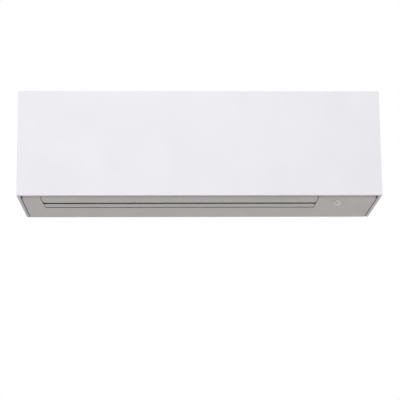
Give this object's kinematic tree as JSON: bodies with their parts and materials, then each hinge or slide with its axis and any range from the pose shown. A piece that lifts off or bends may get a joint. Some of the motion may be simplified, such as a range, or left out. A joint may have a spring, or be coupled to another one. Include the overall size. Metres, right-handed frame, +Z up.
{
  "type": "wall-hung air conditioner indoor unit",
  "caption": "Long white wall-hung air conditioner body with a flat hinged front, twin outlet flaps in a grey underside, air vanes, fan, coil and lift-out filters.",
  "frame": {"origin": "on the back face of the mounting plate, which is the wall plane, half way along the unit and half way up its front panel", "axes": "+X to the right seen from the room, +Y into the wall, +Z up"},
  "size_m": [0.985, 0.25, 0.3041],
  "materials": {
    "white_plastic": "satin white moulded plastic",
    "grey_plastic": "fine matte light grey moulded plastic",
    "inner_plastic": "matte dark grey structural plastic",
    "black_plastic": "matte dark grey plastic",
    "fan_plastic": "matte charcoal glass-filled plastic",
    "fin_aluminium": "thin coated aluminium fins",
    "zinc_steel": "zinc-plated steel sheet",
    "copper": "drawn copper tube, a little dulled",
    "brass": "machined brass",
    "rubber": "matte moulded rubber",
    "circuit_board": "green coated circuit board",
    "lens_plastic": "glossy milky lens plastic"
  },
  "bodies": {
    "root": {"front_frame": "white_plastic", "intake_grille": "white_plastic", "side_cover_left": "white_plastic", "side_cover_right": "white_plastic", "bottom_cover": "grey_plastic", "base_chassis": "inner_plastic", "control_box": "inner_plastic", "drain_pan": "black_plastic", "pipe_clamp": "black_plastic", "terminal_block": "black_plastic", "fin_pack_front_lower": "fin_aluminium", "fin_pack_front_upper": "fin_aluminium", "fin_pack_rear": "fin_aluminium", "mounting_plate": "zinc_steel", "fan_motor": "zinc_steel", "motor_bracket": "zinc_steel", "front_flap_stepper": "zinc_steel", "rear_flap_stepper": "zinc_steel", "vane_stepper_left": "zinc_steel", "vane_stepper_right": "zinc_steel", "control_box_cover": "zinc_steel", "frame_screw_1": "zinc_steel", "frame_screw_2": "zinc_steel", "frame_screw_3": "zinc_steel", "coil_end_plate_left": "copper", "coil_end_plate_right": "copper", "gas_pipe": "copper", "liquid_pipe": "copper", "gas_flare_nut": "brass", "liquid_flare_nut": "brass", "fan_bearing": "rubber", "drain_plug": "rubber", "control_board": "circuit_board", "sensor_board": "circuit_board", "switch_board": "circuit_board", "sensor_lens": "lens_plastic"},
    "front_panel": {"front_panel": "white_plastic"},
    "front_flap": {"front_flap": "grey_plastic"},
    "rear_flap": {"rear_flap": "grey_plastic"},
    "fan": {"cross_flow_fan": "fan_plastic", "fan_end_shaft": "zinc_steel", "motor_shaft": "zinc_steel"},
    "filter_left": {"filter_left": "black_plastic"},
    "filter_right": {"filter_right": "black_plastic"},
    "tie_bar_left": {"tie_bar_left": "black_plastic"},
    "tie_bar_right": {"tie_bar_right": "black_plastic"},
    "manual_button": {"manual_button": "grey_plastic"},
    "vane_1": {"vane_1": "black_plastic"},
    "vane_2": {"vane_2": "black_plastic"},
    "vane_3": {"vane_3": "black_plastic"},
    "vane_4": {"vane_4": "black_plastic"},
    "vane_5": {"vane_5": "black_plastic"},
    "vane_6": {"vane_6": "black_plastic"},
    "vane_7": {"vane_7": "black_plastic"},
    "vane_8": {"vane_8": "black_plastic"},
    "vane_9": {"vane_9": "black_plastic"},
    "vane_10": {"vane_10": "black_plastic"}
  },
  "joints": [
    {"name": "panel_hinge", "type": "hinge", "parent": "root", "child": "front_panel", "pos_m": [0, -0.2432, 0.141], "axis": [-1, 0, 0], "range_deg": [0, 65]},
    {"name": "front_flap_turn", "type": "hinge", "parent": "root", "child": "front_flap", "pos_m": [0, -0.171, -0.1405], "axis": [1, 0, 0], "range_deg": [0, 75]},
    {"name": "rear_flap_turn", "type": "hinge", "parent": "root", "child": "rear_flap", "pos_m": [0, -0.1215, -0.1405], "axis": [1, 0, 0], "range_deg": [0, 75]},
    {"name": "fan_spin", "type": "hinge", "parent": "root", "child": "fan", "pos_m": [0, -0.116, -0.021], "axis": [1, 0, 0], "continuous": true},
    {"name": "filter_left_lift", "type": "slide", "parent": "root", "child": "filter_left", "axis": [0, 0, 1], "range_m": [0, 0.165]},
    {"name": "filter_right_lift", "type": "slide", "parent": "root", "child": "filter_right", "axis": [0, 0, 1], "range_m": [0, 0.165]},
    {"name": "vane_1_turn", "type": "hinge", "parent": "root", "child": "vane_1", "pos_m": [-0.3942, -0.18894, -0.08596], "axis": [0, 0.8801, -0.4748], "range_deg": [-30, 30]},
    {"name": "vane_2_turn", "type": "hinge", "parent": "root", "child": "vane_2", "pos_m": [-0.3186, -0.18894, -0.08596], "axis": [0, 0.8801, -0.4748], "range_deg": [-30, 30]},
    {"name": "vane_3_turn", "type": "hinge", "parent": "root", "child": "vane_3", "pos_m": [-0.243, -0.18894, -0.08596], "axis": [0, 0.8801, -0.4748], "range_deg": [-30, 30]},
    {"name": "vane_4_turn", "type": "hinge", "parent": "root", "child": "vane_4", "pos_m": [-0.1674, -0.18894, -0.08596], "axis": [0, 0.8801, -0.4748], "range_deg": [-30, 30]},
    {"name": "vane_5_turn", "type": "hinge", "parent": "root", "child": "vane_5", "pos_m": [-0.0918, -0.18894, -0.08596], "axis": [0, 0.8801, -0.4748], "range_deg": [-30, 30]},
    {"name": "vane_6_turn", "type": "hinge", "parent": "root", "child": "vane_6", "pos_m": [-0.0162, -0.18894, -0.08596], "axis": [0, 0.8801, -0.4748], "range_deg": [-30, 30]},
    {"name": "vane_7_turn", "type": "hinge", "parent": "root", "child": "vane_7", "pos_m": [0.0594, -0.18894, -0.08596], "axis": [0, 0.8801, -0.4748], "range_deg": [-30, 30]},
    {"name": "vane_8_turn", "type": "hinge", "parent": "root", "child": "vane_8", "pos_m": [0.135, -0.18894, -0.08596], "axis": [0, 0.8801, -0.4748], "range_deg": [-30, 30]},
    {"name": "vane_9_turn", "type": "hinge", "parent": "root", "child": "vane_9", "pos_m": [0.2106, -0.18894, -0.08596], "axis": [0, 0.8801, -0.4748], "range_deg": [-30, 30]},
    {"name": "vane_10_turn", "type": "hinge", "parent": "root", "child": "vane_10", "pos_m": [0.2862, -0.18894, -0.08596], "axis": [0, 0.8801, -0.4748], "range_deg": [-30, 30]},
    {"name": "tie_bar_left_turn", "type": "hinge", "parent": "vane_1", "child": "tie_bar_left", "pos_m": [-0.3942, -0.13978, -0.10226], "axis": [0, 0.8801, -0.4748], "range_deg": [-30, 30]},
    {"name": "tie_bar_right_turn", "type": "hinge", "parent": "vane_6", "child": "tie_bar_right", "pos_m": [-0.0162, -0.13978, -0.10226], "axis": [0, 0.8801, -0.4748], "range_deg": [-30, 30]},
    {"name": "button_press", "type": "slide", "parent": "root", "child": "manual_button", "axis": [0, 1, 0], "range_m": [0, 0.002], "stiffness_N_per_m": 350}
  ],
  "couplings": [
    {"joint": "vane_2_turn", "follows": "vane_1_turn", "ratio": 1},
    {"joint": "vane_3_turn", "follows": "vane_1_turn", "ratio": 1},
    {"joint": "vane_4_turn", "follows": "vane_1_turn", "ratio": 1},
    {"joint": "vane_5_turn", "follows": "vane_1_turn", "ratio": 1},
    {"joint": "vane_7_turn", "follows": "vane_6_turn", "ratio": 1},
    {"joint": "vane_8_turn", "follows": "vane_6_turn", "ratio": 1},
    {"joint": "vane_9_turn", "follows": "vane_6_turn", "ratio": 1},
    {"joint": "vane_10_turn", "follows": "vane_6_turn", "ratio": 1},
    {"joint": "tie_bar_left_turn", "follows": "vane_1_turn", "ratio": -1},
    {"joint": "tie_bar_right_turn", "follows": "vane_6_turn", "ratio": -1}
  ]
}
